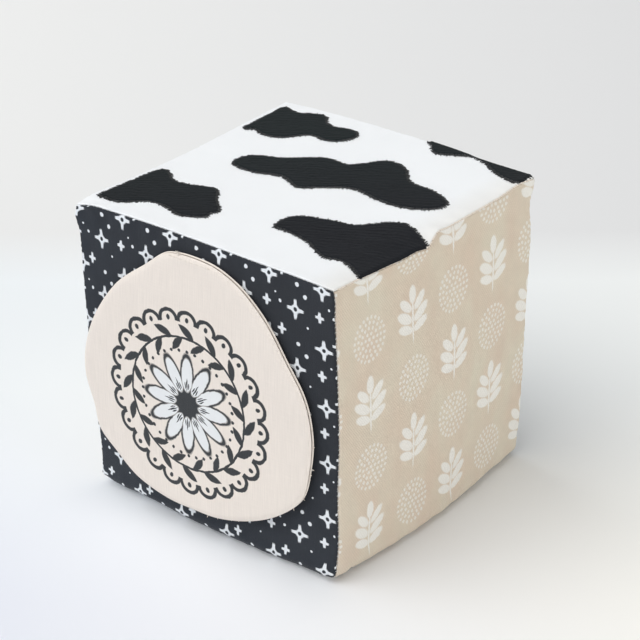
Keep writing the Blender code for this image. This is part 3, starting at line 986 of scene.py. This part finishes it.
def make_square(face, seed):
    """Makes one square of the cover. Its seed makes its gathers its own."""
    across, up, out, cloth, fold, gather, billow = SQUARES[face]
    rings, flat_part = fold_rings(fold), flat_half(fold)
    cells = {"x_subdivisions": PANEL_CELLS, "y_subdivisions": PANEL_CELLS}
    bpy.ops.mesh.primitive_grid_add(**cells, size=2 * flat_part, calc_uvs=False)
    square = bpy.context.active_object
    square.name = f"{face}_square"
    move_points(square, [point + Vector((0, 0, HALF)) for point in points_of(square)])
    on_rim = [reach_of(point) > flat_part - 10 * SAME_PLACE for point in points_of(square)]
    edit(square, on_rim)
    for (reach, height, _), (next_reach, next_height, _) in zip(rings, rings[1:]):
        bpy.ops.mesh.extrude_region_move()
        scale = next_reach / reach
        bpy.ops.transform.resize(value=(scale, scale, 1), center_override=(0, 0, height))
        bpy.ops.transform.translate(value=(0, 0, next_height - height))
    close_edit()
    flat = points_of(square)
    lay_map(square, [cloth_place_of(point, rings) for point in flat])
    turn = Matrix((across, up, out)).transposed()
    bent = []
    for point in flat:
        # Gathers fade out on the allowance, where the cloth lies against its neighbour's.
        outside = part((point.z - (HALF - 1.7 * fold)) / (0.7 * fold))
        lift = gather * gathered(point.x, point.y, seed) * outside
        wave = Vector((point.x / BILLOW_WIDTH, point.y / BILLOW_WIDTH, seed))
        inner = part((flat_part - reach_of(point)) / BILLOW_WIDTH * 2)
        lift += billow * noise.noise(wave) * 2 * inner
        bent.append(filled(turn @ (point + Vector((0, 0, lift)))))
    move_points(square, bent)
    give_body(square, CLOTH)
    complete(square, CLOTHS[cloth], replaced=[f"{face}_panel"])
    return square


squares = {face: make_square(face, 11 * i) for i, face in enumerate(SQUARES)}
print("cover:", sum(len(square.data.polygons) for square in squares.values()), "faces")

# %% [markdown]
# ## One stitch, and rows of stitches
#
# A stitch is a short piece of thread that dives into the cloth at both ends. One is modelled as a small
# bean, and then copied to every place where the needle went through, so each row is one piece.

# %% Stitch
STITCH_BLUNTNESS = 0.7

bpy.ops.mesh.primitive_uv_sphere_add(segments=6, ring_count=6, radius=1)
stitch = bpy.context.active_object
stitch.name = "stitch"
stitch.data.uv_layers[0].name = "cloth"
beans = [
    Vector((point.x, point.y, math.copysign(abs(point.z) ** STITCH_BLUNTNESS, point.z)))
    for point in points_of(stitch)
]
move_points(stitch, beans)


def stitch_at(place, along, out, length, radius):
    """The matrix of a stitch that lies there, where out points away from the cloth."""
    along = along.normalized()
    side = along.cross(out).normalized()
    turn = Matrix((side * radius, side.cross(along) * radius, along * length / 2)).transposed()
    return Matrix.Translation(place) @ turn.to_4x4()


def sew(name, matrices, material, body="block", replaced=()):
    """Copies the stitch to each place and joins the copies into one piece."""
    copies = []
    for matrix in matrices:
        copy = bpy.data.objects.new(name, stitch.data.copy())
        bpy.context.scene.collection.objects.link(copy)
        copy.data.transform(matrix)
        copies.append(copy)
    only(*copies)
    bpy.ops.object.join()
    row = bpy.context.active_object
    row.name = name
    complete(row, material, body, replaced)
    return row


print("stitch:", len(stitch.data.polygons), "faces")

# %% [markdown]
# ## The twelve seams
#
# A seam of the cover is a groove between two folds, with the thread down in it. On the dark cloth short
# stitches slant over the groove. Where two pale squares meet, longer and thicker ones lie end to end and
# fill it, because there the real seam shows no dark line. The thread stops short of the corners.

# %% Seams
# How long a stitch is, its radius, and how much more it turns along the seam than over it.
DARK_SEAM_STITCH = (0.0015, 0.00015, 1)
PALE_SEAM_STITCH = (0.0034, 0.00042, 8)
SEAM_STITCH_PITCH = 0.0023
SEAM_STITCH_INSET = 0.0007
SEAM_STITCH_SHIFT = 0.0004
FACES = {name: Vector(square[2]) for name, square in SQUARES.items()}
draw = random.Random(5)


def sew_seam(one, other):
    """Stitches in the groove between two squares."""
    pale = "night_cloth" not in (SQUARES[one][3], SQUARES[other][3])
    length, radius, turn = PALE_SEAM_STITCH if pale else DARK_SEAM_STITCH
    edge = (FACES[one] + FACES[other]) * (HALF - SEAM_STITCH_INSET)
    along = FACES[one].cross(FACES[other])
    out = (FACES[one] + FACES[other]).normalized()
    count = round(2 * (HALF - THREAD_STOP) / SEAM_STITCH_PITCH)
    matrices = []
    for i in range(count + 1):
        shift = draw.uniform(-SEAM_STITCH_SHIFT, SEAM_STITCH_SHIFT)
        at = (2 * i / count - 1) * (HALF - THREAD_STOP) + shift
        place, ahead = filled(edge + along * at), filled(edge + along * (at + 0.001))
        forward = (ahead - place).normalized()
        slant = forward.cross(out) + forward * draw.uniform(0.5, 0.9) * turn
        matrices.append(stitch_at(place, slant, out, length, radius))
    name, thread = f"{one}_{other}_seam", CREAM_THREAD if pale else SEWING_THREAD
    return sew(f"{name}_stitches", matrices, thread, replaced=[f"{name}_thread"])


seams = [
    sew_seam(level, side)
    for level in ("top", "bottom")
    for side in ("front", "back", "left", "right")
]
seams += [sew_seam(end, side) for end in ("front", "back") for side in ("left", "right")]
print("seams:", len(seams))

# %% [markdown]
# ## The outlines of the spots
#
# Each of the five spots has its own outline, like a cow's. It is given by points round it, in shares of
# the block's side from the middle of the top. Two of the spots run on past the top's edge, where they bend
# over the fold.

# %% Spot outlines
SPOT_SHARES = {
    "left_front_spot": [
        (-0.48, -0.437), (-0.481, -0.36), (-0.48, -0.28), (-0.479, -0.20), (-0.466, -0.166),
        (-0.43, -0.178), (-0.39, -0.211), (-0.345, -0.222), (-0.285, -0.21), (-0.215, -0.197),
        (-0.155, -0.262), (-0.112, -0.298), (-0.098, -0.325), (-0.112, -0.345), (-0.104, -0.367),
        (-0.135, -0.392), (-0.19, -0.406), (-0.25, -0.387), (-0.32, -0.388), (-0.375, -0.432),
        (-0.41, -0.449), (-0.445, -0.445),
    ],
    "centre_spot": [
        (-0.312, -0.003), (-0.305, 0.075), (-0.20, 0.117), (-0.092, 0.193), (0.007, 0.203),
        (0.08, 0.296), (0.16, 0.288), (0.232, 0.221), (0.332, 0.212), (0.417, 0.172), (0.406, 0.11),
        (0.33, 0.062), (0.226, 0.06), (0.13, 0.073), (0.04, 0.016), (-0.02, -0.027),
        (-0.108, 0.006), (-0.212, -0.022),
    ],
    "right_front_spot": [
        (0.101, -0.289), (0.107, -0.20), (0.203, -0.153), (0.288, -0.127), (0.355, -0.047),
        (0.405, -0.022), (0.465, -0.042), (0.54, -0.083), (0.60, -0.11), (0.57, -0.40),
        (0.46, -0.355), (0.40, -0.338), (0.34, -0.352), (0.242, -0.304), (0.15, -0.292),
    ],
    "left_back_spot": [
        (-0.474, 0.238), (-0.477, 0.31), (-0.477, 0.39), (-0.472, 0.458), (-0.43, 0.442),
        (-0.395, 0.44), (-0.36, 0.457), (-0.32, 0.468), (-0.293, 0.455), (-0.265, 0.42),
        (-0.225, 0.408), (-0.18, 0.418), (-0.14, 0.415), (-0.114, 0.39), (-0.122, 0.35),
        (-0.15, 0.316), (-0.19, 0.308), (-0.23, 0.314), (-0.26, 0.305), (-0.285, 0.278),
        (-0.31, 0.25), (-0.355, 0.232), (-0.395, 0.235), (-0.435, 0.25),
    ],
    "right_back_spot": [
        (0.09, 0.55), (0.125, 0.475), (0.17, 0.44), (0.22, 0.468), (0.265, 0.497), (0.325, 0.492),
        (0.37, 0.463), (0.43, 0.438), (0.49, 0.424), (0.507, 0.439), (0.503, 0.468), (0.495, 0.5),
        (0.485, 0.55),
    ],
}
print("spots:", len(SPOT_SHARES))

# %% [markdown]
# ## A grid cut to an outline
#
# The spots and the flap are both fine grids cut to an outline. A smooth curve is laid through the outline's
# points. The grid's points that lie outside it are deleted, and those on the new rim are moved onto it, so
# the rim is as smooth as the curve. How deep inside each point lies is kept, because the surface is later
# raised from the rim by it.

# %% Cutting to an outline
OUTLINE_STEPS = 6
LEVEL = 1e-12
CUT_MARGIN = 0.4
RIM_MARGIN = 1.2


def sides_of(outline):
    """The two ends of each side of a closed outline."""
    return list(zip(outline, outline[1:] + outline[:1]))


def area_of(outline):
    """The area inside an outline, below 0 where it runs clockwise."""
    return sum(a.x * b.y - b.x * a.y for a, b in sides_of(outline)) / 2


def round_outline(shares):
    """A smooth closed outline through points given in shares of SIDE."""
    corners = [Vector(share) * SIDE for share in shares]
    outline = []
    for i, start in enumerate(corners):
        before, end, after = (corners[(i + k) % len(corners)] for k in (-1, 1, 2))
        for step in range(OUTLINE_STEPS):
            t = step / OUTLINE_STEPS
            outline.append((
                2 * start
                + (end - before) * t
                + (2 * before - 5 * start + 4 * end - after) * t**2
                + (3 * start - before - 3 * end + after) * t**3
            ) / 2)
    return outline


def depth_inside(points, outline):
    """How far inside the outline each point is, below 0 outside, and the nearest place on the outline."""
    start = np.array([tuple(corner) for corner in outline])
    end = np.roll(start, -1, axis=0)
    along = end - start
    rise = np.where(np.abs(along[:, 1]) < LEVEL, LEVEL, along[:, 1])
    depths, nearest = [], []
    for some in np.array_split(np.array([tuple(p[:2]) for p in points]), 12):
        p = some[:, None, :]
        t = np.clip(((p - start) * along).sum(2) / (along**2).sum(1), 0, 1)
        on_line = start + t[..., None] * along
        gap = np.linalg.norm(p - on_line, axis=2)
        row, best = np.arange(len(some)), gap.argmin(1)
        crossed = (start[:, 1] > p[..., 1]) != (end[:, 1] > p[..., 1])
        crossed &= p[..., 0] < start[:, 0] + (p[..., 1] - start[:, 1]) * along[:, 0] / rise
        inside = crossed.sum(1) % 2 == 1
        depths.append(np.where(inside, gap[row, best], -gap[row, best]))
        nearest.append(on_line[row, best])
    return np.concatenate(depths), np.concatenate(nearest)


def cut_grid(name, outline, cell, limit=1.0):
    """A flat grid cut to an outline, within the limit, and how deep inside its points are."""
    low = [max(-limit, min(corner[axis] for corner in outline)) for axis in (0, 1)]
    high = [min(limit, max(corner[axis] for corner in outline)) for axis in (0, 1)]
    width, height = high[0] - low[0], high[1] - low[1]
    cells = {"x_subdivisions": round(width / cell), "y_subdivisions": round(height / cell)}
    bpy.ops.mesh.primitive_grid_add(**cells, size=1, calc_uvs=False)
    piece = bpy.context.active_object
    piece.name = name
    places = [
        Vector((low[0] + (point.x + 0.5) * width, low[1] + (point.y + 0.5) * height, 0))
        for point in points_of(piece)
    ]
    move_points(piece, places)
    depths, _ = depth_inside(places, outline)
    edit(piece, [bool(depth < -CUT_MARGIN * cell) for depth in depths])
    bpy.ops.mesh.delete(type="VERT")
    bpy.ops.mesh.select_all(action="DESELECT")
    bpy.ops.mesh.select_non_manifold(extend=False)
    close_edit()
    on_rim = [corner.select for corner in piece.data.vertices]
    places = points_of(piece)
    depths, nearest = depth_inside(places, outline)
    for i, rim in enumerate(on_rim):
        if rim and abs(depths[i]) < RIM_MARGIN * cell:
            places[i] = Vector((*nearest[i], 0))
            depths[i] = 0
    move_points(piece, places)
    return piece, depths


# %% [markdown]
# ## The raised spots
#
# The black spots are worked into the top square in rows of thick thread. Their surface rises from the rim,
# with a low ridge for each row and a nap over it. A spot that reaches a seam bends over the fold with the
# cloth. Along the rim, loose ends of thread make the edge ragged, as on the real one.

# %% Spots
SPOT_CELL = 0.00055
SPOT_RISE = 0.0011
SPOT_GAP = 0.00005
SPOT_BODY = 0.0005
ROW_RIDGE = 0.00009
ROW_SWAY = 0.003
NAP_HEIGHT, NAP_WIDTH = 0.00012, 0.0012
TOP_FOLD = SQUARES["top"][4]
FLAT_HALF = flat_half(TOP_FOLD)
SPOT_REACH = FLAT_HALF + TOP_FOLD * 1.6


def over_fold(distance, lift):
    """(across, down) of a place on the cloth that may be past the start of the fold."""
    past = abs(distance) - FLAT_HALF
    if past <= 0:
        return distance, 0
    turn = past / TOP_FOLD
    across = FLAT_HALF + (TOP_FOLD + lift) * math.sin(turn)
    return math.copysign(across, distance), (TOP_FOLD + lift) * (1 - math.cos(turn))


def on_top(x, y, lift):
    """A place on the top square's cloth, that far above it."""
    (across, down), (up, down_too) = over_fold(x, lift), over_fold(y, lift)
    return filled(Vector((across, up, HALF + lift - down - down_too)))


def make_spot(name, shares):
    """Makes a spot, and gives its outline too."""
    outline = round_outline(shares)
    spot, depths = cut_grid(name + "_pile", outline, SPOT_CELL, SPOT_REACH)
    flat = points_of(spot)
    lay_map(spot, flat)
    raised = []
    for point, depth in zip(flat, depths):
        rise = math.sqrt(1 - (1 - part(depth / SPOT_RISE)) ** 2)
        along, beside = on_rows(point.x, point.y)
        sway = noise.noise(Vector((along * 70, beside * 200, 0))) * ROW_SWAY
        ridge = abs(math.sin((beside + sway) * math.pi / ROW_PITCH))
        ridge *= part((FLAT_HALF - reach_of(point)) / 0.001)
        nap = noise.noise(point / NAP_WIDTH)
        lift = SPOT_GAP + rise * (PILE + ROW_RIDGE * ridge + NAP_HEIGHT * nap)
        raised.append(on_top(point.x, point.y, lift))
    move_points(spot, raised)
    give_body(spot, SPOT_BODY)
    complete(spot, BLACK_ROWS, replaced=[name])
    return spot, outline


TUFT_PITCH = 0.0008
TUFT_RADIUS = 0.00026
TUFT_ROOT, TUFT_TIP = 0.0006, (0.0004, 0.0012)
ROOT_LIFT, TIP_LIFT = 0.0004, 0.00015


def tufts_along(outline):
    """Loose ends of thread that stick out of a spot's rim. The outline runs anticlockwise."""
    matrices, left = [], 0.0
    for start, end in sides_of(outline):
        span = (end - start).length
        forward = (end - start).normalized()
        while left < span:
            at = start + forward * left
            left += TUFT_PITCH * draw.uniform(0.6, 1.4)
            if reach_of(at) < SPOT_REACH:
                outwards = Vector((forward.y, -forward.x)) + forward * draw.uniform(-0.7, 0.7)
                root, tip = at - outwards * TUFT_ROOT, at + outwards * draw.uniform(*TUFT_TIP)
                one, other = on_top(*root, ROOT_LIFT), on_top(*tip, TIP_LIFT)
                length = (other - one).length * 1.2
                middle, out = (one + other) / 2, Vector((0, 0, 1))
                matrices.append(stitch_at(middle, other - one, out, length, TUFT_RADIUS))
        left -= span
    return matrices


for spot_name, spot_shares in SPOT_SHARES.items():
    spot, spot_outline = make_spot(spot_name, spot_shares)
    anticlockwise = spot_outline if area_of(spot_outline) > 0 else spot_outline[::-1]
    sew(f"{spot_name}_loose_ends", tufts_along(anticlockwise), BLACK_THREAD)
    print(spot_name, len(spot.data.polygons), "faces")

# %% [markdown]
# ## The flap
#
# The flap is two layers of canvas with wadding between them, sewn round the edge, turned out and sewn to
# the front of the block along the top of its rim only. Both layers are grids cut to the outline. Their
# rims curve towards each other, so the flap looks padded, and the back layer shows as a thin second line
# behind the front one. The cloth is drawn up where it is sewn down, and waves a little where it hangs.

# %% The flap's two layers
FLAP_CELL = 0.0011
FLAP_ROUND = 0.0015
FLAP_MIDDLE_OFF = CLEARANCE + FLAP_THICKNESS / 2
FLAP_WAVE = 0.0005
LAYER_GAP = 0.00002
BACK_SHOWS = 0.00035
UP_RIGHT = Vector((0.6, 0.8))
PUCKER_SPAN_SHARES = (-0.15, 0.06)
PUCKER_DEPTH, PUCKER_WIDTH, PUCKER_LENGTH = 0.00028, 0.0016, 0.02
PUCKER_FADE, PUCKER_TOP, PUCKER_DROP = 0.003, 0.0015, 0.005
FLAP_SHARES = [
    (-0.145, 0.935), (-0.085, 0.953), (-0.02, 0.957), (0.055, 0.952), (0.125, 0.93), (0.19, 0.893),
    (0.265, 0.827), (0.335, 0.732), (0.407, 0.625), (0.433, 0.505), (0.426, 0.39), (0.398, 0.275),
    (0.315, 0.19), (0.205, 0.127), (0.08, 0.088), (-0.03, 0.08), (-0.145, 0.08), (-0.27, 0.11),
    (-0.36, 0.17), (-0.43, 0.23), (-0.45, 0.315), (-0.48, 0.415), (-0.47, 0.525), (-0.42, 0.655),
    (-0.33, 0.785), (-0.22, 0.875),
]
FLAP_MIDDLE = Vector((-0.03 * SIDE, 0.51 * SIDE))


def flap_point(x, z, off):
    """A point that hangs off the front face by off and by the flap's lean, at x across and z up."""
    place = filled(Vector((x, -HALF, z - HALF)))
    lean = FLAP_LEAN * max(0, FOLD_HEIGHT - z) / FOLD_HEIGHT
    return Vector((x, place.y - off - lean, z))


def flap_wave(x, z):
    """How far the hanging flap waves off the block there."""
    down = max(0, FOLD_HEIGHT - z) / FOLD_HEIGHT
    wave = 0.5 + noise.noise(Vector((x / 0.032, z / 0.045, 4)))
    return FLAP_WAVE * wave * min(1, 3 * down)


def pucker(x, z):
    """The small folds that hang from the flap's stitching."""
    low, high = (share * SIDE for share in PUCKER_SPAN_SHARES)
    inside = part((x - low) / PUCKER_FADE) * part((high - x) / PUCKER_FADE)
    below = max(0, FOLD_HEIGHT + PUCKER_TOP - z)
    fold = noise.noise(Vector((x / PUCKER_WIDTH, z / PUCKER_LENGTH, 9)))
    return PUCKER_DEPTH * inside * math.exp(-below / PUCKER_DROP) * fold


def sized(outline, by, towards=None):
    """An outline let out by a distance, or only on the side that lies in one direction."""
    grown = []
    for corner in outline:
        out = (corner - FLAP_MIDDLE).normalized()
        grown.append(corner + out * by * (max(0, out.dot(towards)) if towards else 1))
    return grown


def make_flap_layer(name, outline, rest_off, facing, material, replaced):
    """A layer of the flap. Facing is 1 for the front one, and -1 for the one next to the block."""
    layer, depths = cut_grid(name, outline, FLAP_CELL)
    flat = points_of(layer)
    lay_map(layer, [(p.x, p.y - SIDE / 2) for p in flat])
    hung = []
    for point, depth in zip(flat, depths):
        x, z = point.x, point.y + SEAM_INSET
        share = part(depth / FLAP_ROUND)
        curve = math.sqrt(1 - (1 - share) ** 2)
        edge_off = FLAP_MIDDLE_OFF + facing * (FLAP_CLOTH + LAYER_GAP)
        off = edge_off + (rest_off - edge_off) * curve + flap_wave(x, z) + share * pucker(x, z)
        hung.append(flap_point(x, z, off))
    move_points(layer, hung)
    edit(layer)
    bpy.ops.mesh.select_all(action="SELECT")
    bpy.ops.mesh.normals_make_consistent(inside=False)
    close_edit()
    inwards = sum(face.normal.y for face in layer.data.polygons) * facing
    if inwards > 0:
        layer.data.flip_normals()
    give_body(layer, FLAP_CLOTH)
    complete(layer, material, body=None, replaced=replaced)
    return layer


flap_outline = round_outline(FLAP_SHARES)
back_outline = sized(flap_outline, BACK_SHOWS, UP_RIGHT)
front_off = CLEARANCE + FLAP_THICKNESS
flap_front = make_flap_layer(
    "flap_front", flap_outline, front_off, 1, PAINTED_CANVAS, ["flap_face", "flap_top_margin"]
)
flap_back = make_flap_layer(
    "flap_back", back_outline, CLEARANCE, -1, CLOTHS["cream_canvas"], ["flap_backing"]
)
print("flap:", len(flap_front.data.polygons) + len(flap_back.data.polygons), "faces")

# %% [markdown]
# ## Inside the flap
#
# The wadding is a thin mat, cut smaller than the flap, and a little uneven, as fibres are. It can't be
# seen, but it is what holds the two layers apart. It stays below the fold, so that the flap can turn there.

# %% Wadding
WADDING_INSET = 0.004
WADDING_CELL = 0.0022
WADDING_BODY = 0.0008
FLUFF_HEIGHT, FLUFF_WIDTH = 0.00015, 0.004

wadding, _ = cut_grid("flap_filling", sized(flap_outline, -WADDING_INSET), WADDING_CELL)
fluffed = []
for point in points_of(wadding):
    x, z = point.x, min(point.y + SEAM_INSET, FOLD_HEIGHT - WADDING_INSET)
    fluff = FLUFF_HEIGHT * noise.noise(point / FLUFF_WIDTH)
    fluffed.append(flap_point(x, z, FLAP_MIDDLE_OFF - WADDING_BODY / 2 + flap_wave(x, z) + fluff))
move_points(wadding, fluffed)
give_body(wadding, WADDING_BODY, 1.0)
complete(wadding, WADDING, body=None, replaced=["flap_wadding"])
print("wadding:", len(wadding.data.polygons), "faces")

# %% [markdown]
# ## The flap's stitching
#
# The two layers are joined by a row of running stitches inside the edge, and a short row through all the
# layers holds the flap to the block. That last thread was left sticking up in three short ends.
# Where the back layer shows at the flap's right edge, a few of its threads have frayed.

# %% Flap stitches
STITCHING_HEIGHT = SEAM_INSET + SIDE * 0.943
STITCHING_SPAN = (-0.11 * SIDE, 0.04 * SIDE)
STITCHING_PITCH = 0.0026
EDGE_SEAM_INSET = 0.003
FLAP_STITCH, FLAP_STITCH_RADIUS = 0.0021, 0.0002
LOOSE_END, LOOSE_END_SHARE = 0.0026, -0.078
FRAY_SHARE, FRAY_RADIUS, FRAY_REACH = 0.2, 0.00015, (0.0005, 0.0009)
IN_FRONT = FACES["front"]

edge_stitches = []
for start, end in sides_of(sized(flap_outline, -EDGE_SEAM_INSET)):
    place, ahead = (
        flap_point(c.x, c.y + SEAM_INSET, FLAP_MIDDLE_OFF + flap_wave(c.x, c.y + SEAM_INSET))
        for c in (start, end)
    )
    middle, forward = (place + ahead) / 2, ahead - place
    edge_stitches.append(stitch_at(middle, forward, IN_FRONT, FLAP_STITCH, FLAP_STITCH_RADIUS))
edge_row = sew(
    "flap_edge_stitches", edge_stitches, SEWING_THREAD, None, ["flap_edge_thread"]
)

holding = []
count = round((STITCHING_SPAN[1] - STITCHING_SPAN[0]) / STITCHING_PITCH)
for i in range(count + 1):
    x = STITCHING_SPAN[0] + (STITCHING_SPAN[1] - STITCHING_SPAN[0]) * i / count
    z = STITCHING_HEIGHT + draw.uniform(-0.0001, 0.0001)
    off = front_off - 0.0001 + flap_wave(x, z)
    slope = Vector((1, 0, draw.uniform(-0.12, 0.12)))
    place = flap_point(x, z, off)
    holding.append(stitch_at(place, slope, IN_FRONT, FLAP_STITCH, FLAP_STITCH_RADIUS))
for lean in (-0.5, 0.1, 0.6):
    root = flap_point(LOOSE_END_SHARE * SIDE, STITCHING_HEIGHT + 0.0012, front_off - 0.0004)
    up = Vector((lean, -0.25, 1)).normalized()
    holding.append(stitch_at(root + up * 0.0009, up, IN_FRONT, LOOSE_END, FLAP_STITCH_RADIUS))
sew("flap_holding_stitches", holding, CREAM_THREAD, "block", ["flap_stitching"])

frayed = []
for start, end in sides_of(back_outline):
    out = Vector((end.y - start.y, start.x - end.x)).normalized()
    if (start - FLAP_MIDDLE).dot(out) < 0:
        out = -out
    if start.x > 0 and start.y < 0.55 * SIDE and draw.random() < FRAY_SHARE:
        astray = Vector((draw.uniform(-0.9, 0.9), draw.uniform(-0.9, 0.9)))
        tip = start + (out + astray) * draw.uniform(*FRAY_REACH)
        one = flap_point(start.x, start.y + SEAM_INSET, FLAP_MIDDLE_OFF)
        other = flap_point(tip.x, tip.y + SEAM_INSET, FLAP_MIDDLE_OFF + draw.uniform(0, 0.0006))
        length = (other - one).length * 1.5
        frayed.append(stitch_at((one + other) / 2, other - one, IN_FRONT, length, FRAY_RADIUS))
sew("flap_frayed_ends", frayed, CREAM_THREAD, "flap")
print("flap stitches:", len(edge_stitches) + len(holding), "and frayed ends:", len(frayed))

# %% [markdown]
# ## The flap's pieces and its cut size
#
# The flap's cloth crosses the fold: above it the cloth is sewn to the block, and below it the cloth lifts.
# Here each piece of the flap has its place moved into its mesh. The size that each layer was cut to is
# said too: it is the outline with the same seam allowance as the rest, before it was turned in.

# %% Place and cut
for layer in (flap_front, flap_back, wadding, edge_row):
    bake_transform(layer)

wide, tall = (max(c[k] for c in flap_outline) - min(c[k] for c in flap_outline) for k in (0, 1))
way_round = sum((b - a).length for a, b in sides_of(flap_outline))
cut = abs(area_of(flap_outline)) + SEAM_ALLOWANCE * way_round
cut_size = (wide + 2 * SEAM_ALLOWANCE, tall + 2 * SEAM_ALLOWANCE)
print("flap cut to", [round(size * 1000, 1) for size in cut_size], "mm")

# %% [markdown]
# ## The last step
#
# The stitch that was copied is not a piece of the block, so it goes. The dressed block may stand proud of the
# CAD model by little more than a fold of cloth.

# %% Finish
bpy.data.objects.remove(stitch)
